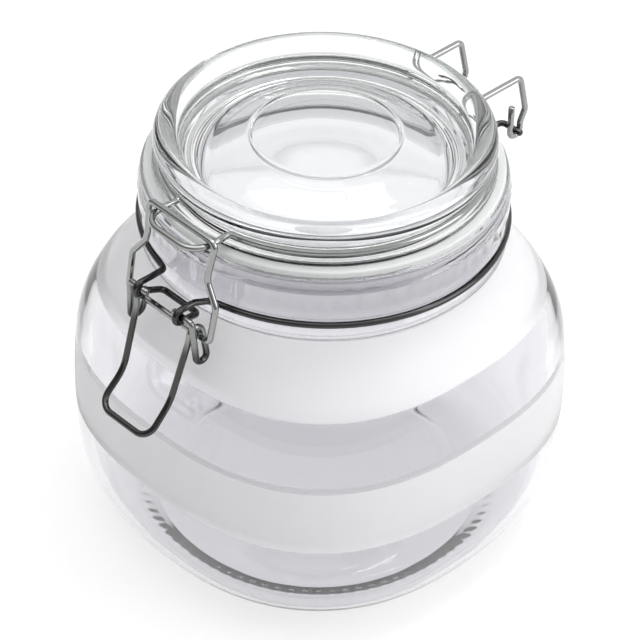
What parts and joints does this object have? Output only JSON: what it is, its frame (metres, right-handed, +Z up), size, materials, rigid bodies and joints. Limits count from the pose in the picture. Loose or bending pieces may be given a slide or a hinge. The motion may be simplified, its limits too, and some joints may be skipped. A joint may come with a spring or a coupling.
{
  "type": "clip-top glass canister",
  "caption": "Squat rounded-square glass canister with a round glass lid on a gasket, held by a wire hinge and an over-centre wire clamp.",
  "frame": {"origin": "centre of the flat base the jar stands on", "axes": "+Z up, clasp toward -Y, lid hinge toward +Y, +X to the right seen from the clasp"},
  "size_m": [0.1326, 0.1461, 0.1341],
  "materials": {
    "jar_glass": "clear glass with two etched bands",
    "lid_glass": "clear glass",
    "gasket_rubber": "translucent white rubber",
    "wire": "bright zinc-plated steel wire"
  },
  "bodies": {
    "jar_body": {"jar": "jar_glass", "neck_wire": "wire"},
    "lid_body": {"lid": "lid_glass", "gasket": "gasket_rubber", "lid_wire": "wire"},
    "lever_body": {"lever": "wire"},
    "bail_body": {"bail": "wire"}
  },
  "joints": [
    {"name": "lid_hinge", "type": "hinge", "parent": "jar_body", "child": "lid_body", "pos_m": [0, 0.065, 0.1075], "axis": [-1, 0, 0], "range_deg": [0, 135]},
    {"name": "lever_swing", "type": "hinge", "parent": "jar_body", "child": "lever_body", "pos_m": [0, -0.0613, 0.1045], "axis": [-1, 0, 0], "range_deg": [0, 90]},
    {"name": "bail_swing", "type": "hinge", "parent": "lever_body", "child": "bail_body", "pos_m": [0, -0.0584, 0.0986], "axis": [1, 0, 0], "range_deg": [0, 144]}
  ],
  "couplings": [
    {"joint": "bail_swing", "follows": "lever_swing", "ratio": 1.6}
  ]
}
